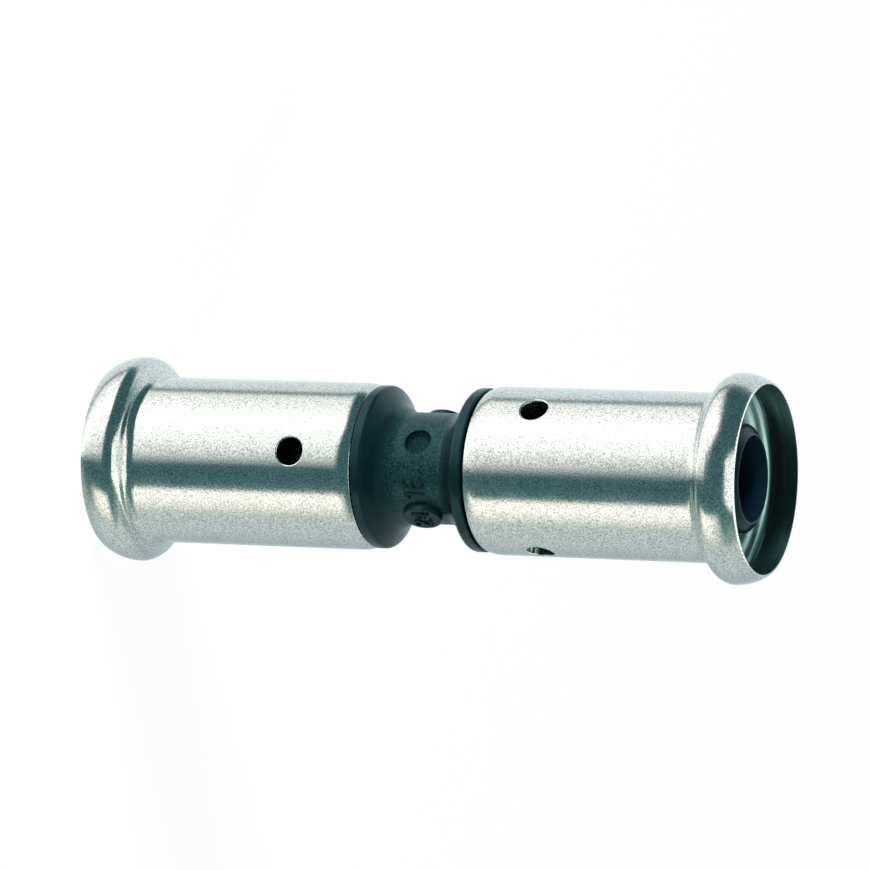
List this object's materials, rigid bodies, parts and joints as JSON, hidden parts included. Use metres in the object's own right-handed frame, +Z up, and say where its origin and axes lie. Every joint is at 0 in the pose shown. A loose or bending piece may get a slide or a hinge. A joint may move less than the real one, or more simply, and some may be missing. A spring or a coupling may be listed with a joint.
{
  "type": "press fit pipe coupling",
  "caption": "Straight press coupling for multilayer pipe: a moulded body with a stem at each end, beaded steel press sleeves and seal rings.",
  "frame": {"origin": "middle of the mouth of the lower press sleeve, level with its thin lip, on which the fitting stands", "axes": "+Z up along the pipe axis to the upper mouth, -Y is the front, where the lower sleeve's first view hole nearly faces"},
  "size_m": [0.0224, 0.0224, 0.0749],
  "materials": {
    "body_polymer": "dark grey moulded PPSU, semi-matte with an eroded texture on the waist",
    "sleeve_steel": "stainless steel tube, tumbled satin",
    "seal_rubber": "black EPDM, smooth"
  },
  "bodies": {
    "root": {"coupling_body": "body_polymer", "lower_press_sleeve": "sleeve_steel", "upper_press_sleeve": "sleeve_steel", "lower_inner_o_ring": "seal_rubber", "lower_outer_o_ring": "seal_rubber", "upper_inner_o_ring": "seal_rubber", "upper_outer_o_ring": "seal_rubber"}
  },
  "joints": []
}
